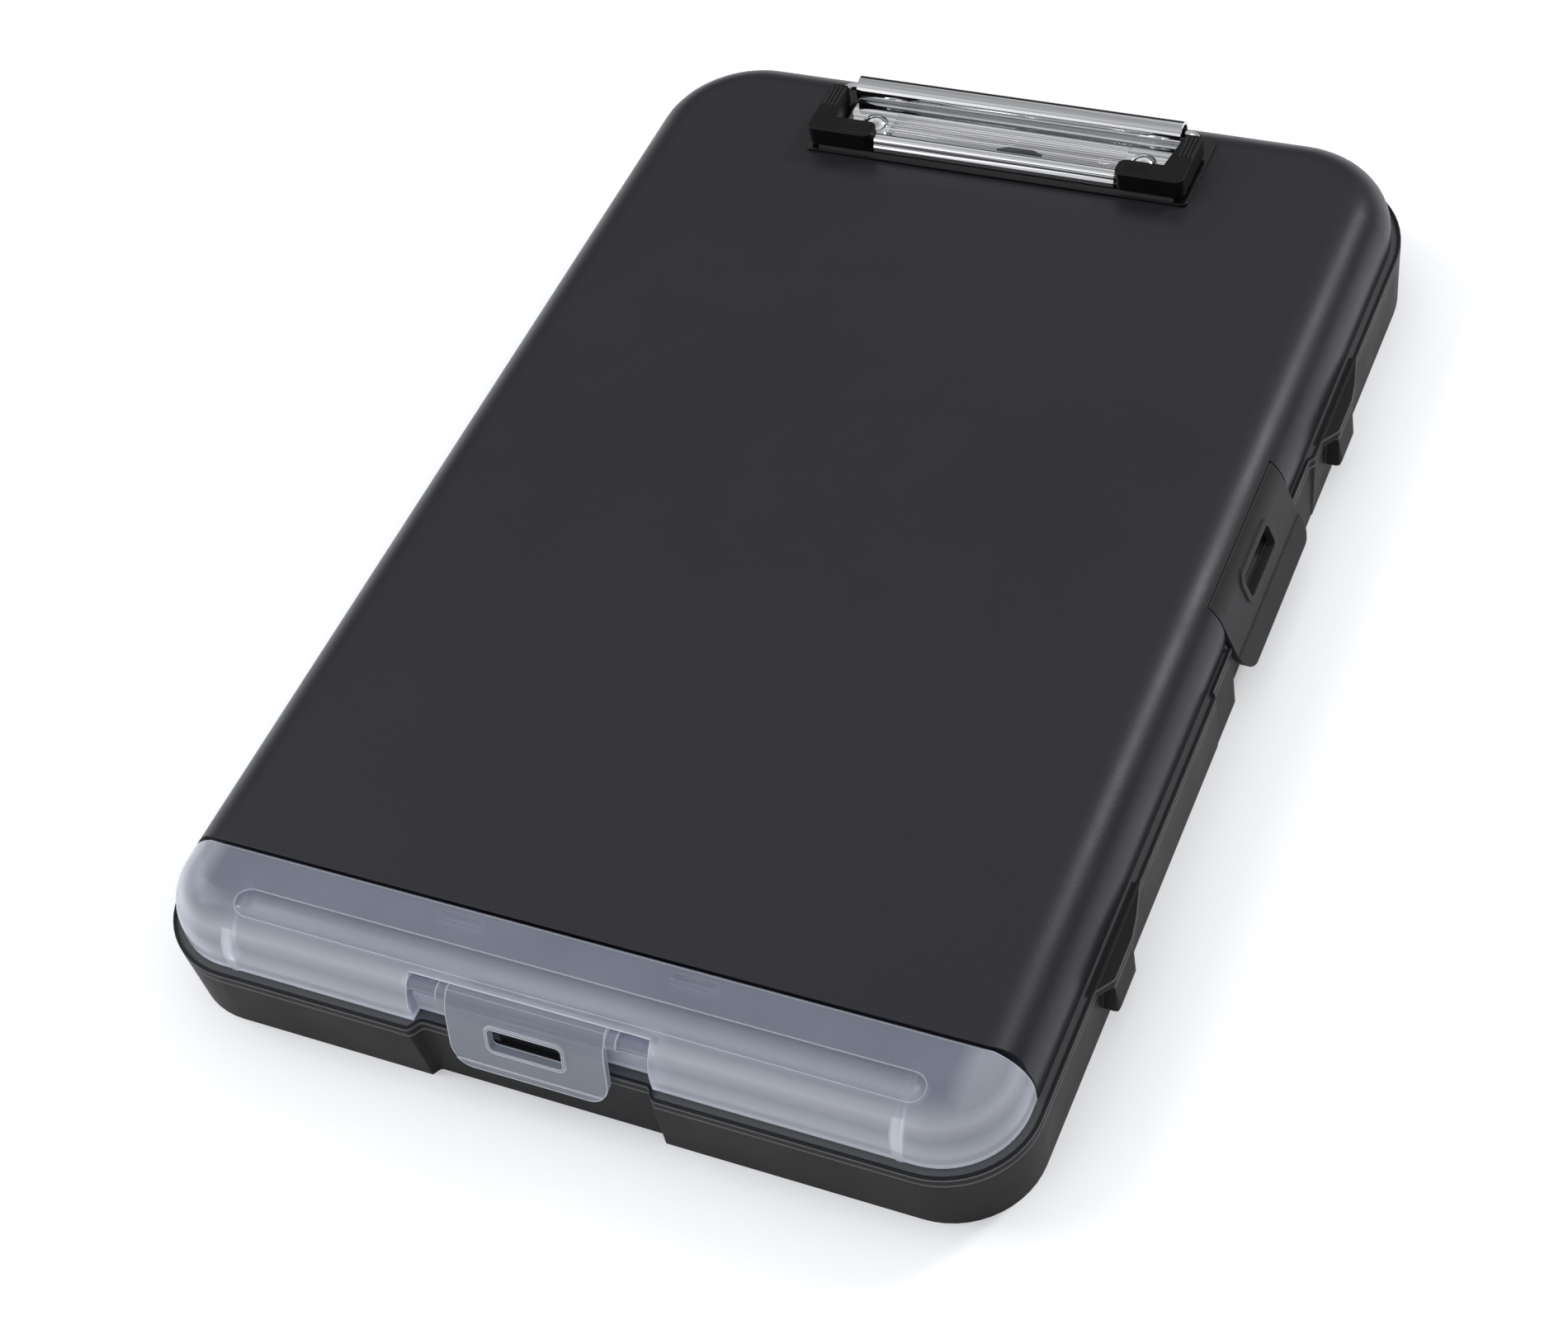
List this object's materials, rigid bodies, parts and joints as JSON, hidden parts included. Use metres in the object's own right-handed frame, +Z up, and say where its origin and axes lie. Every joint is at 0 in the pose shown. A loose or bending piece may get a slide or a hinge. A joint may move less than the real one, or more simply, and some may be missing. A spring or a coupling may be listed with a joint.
{
  "type": "storage clipboard box",
  "caption": "Black storage clipboard box with a hinged writing lid, a smoky hinged pen compartment cover, snap latches and a low-profile chrome clip",
  "frame": {"origin": "centre of the tray's underside, between the two long walls and the two short ones", "axes": "+X towards the long side with the lid's latch, +Y from the pen compartment towards the clip, +Z up out of the writing surface"},
  "size_m": [0.244, 0.3613, 0.0481],
  "materials": {
    "tray_plastic": "fine satin texture",
    "lid_plastic": "fine grained satin",
    "latch_plastic": "satin",
    "frosted_plastic": "frosted, see-through",
    "pad_plastic": "satin",
    "clip_chrome": "polished",
    "pin_steel": "drawn",
    "spring_steel": "drawn",
    "grip_rubber": "matte"
  },
  "bodies": {
    "tray": {"base_tray": "tray_plastic", "lid_hinge_pins": "pin_steel", "pen_cover_pin": "pin_steel"},
    "lid": {"main_lid": "lid_plastic", "side_latch_pin": "pin_steel", "clip_pad": "pad_plastic", "clip_plate": "clip_chrome", "clip_rivets": "clip_chrome", "rivet_washers": "pin_steel", "clip_springs": "spring_steel"},
    "lid_latch": {"side_latch": "latch_plastic"},
    "pen_lid": {"pen_cover": "frosted_plastic", "pen_latch_rod": "frosted_plastic"},
    "pen_lid_latch": {"pen_latch": "frosted_plastic"},
    "clip_bail": {"clip_wire": "clip_chrome", "clip_jaw": "clip_chrome", "clip_grip_left": "grip_rubber", "clip_grip_right": "grip_rubber"}
  },
  "joints": [
    {"name": "lid_hinge", "type": "hinge", "parent": "tray", "child": "lid", "pos_m": [-0.1175, 0, 0.022], "axis": [0, -1, 0], "range_deg": [0, 95]},
    {"name": "lid_latch_pivot", "type": "hinge", "parent": "lid", "child": "lid_latch", "pos_m": [0.1126, 0.0198, 0.03296], "axis": [0, -1, 0], "range_deg": [0, 85]},
    {"name": "pen_cover_hinge", "type": "hinge", "parent": "tray", "child": "pen_lid", "pos_m": [0, -0.1553, 0.036], "axis": [-1, 0, 0], "range_deg": [0, 90]},
    {"name": "pen_latch_pivot", "type": "hinge", "parent": "pen_lid", "child": "pen_lid_latch", "pos_m": [-0.0056, -0.17276, 0.03308], "axis": [-1, 0, 0], "range_deg": [0, 90]},
    {"name": "clip_bail_hinge", "type": "hinge", "parent": "lid", "child": "clip_bail", "pos_m": [0, 0.1612, 0.0443], "axis": [-1, 0, 0], "range_deg": [0, 45], "stiffness_Nm_per_rad": 0.05, "springref_deg": -17.19}
  ]
}
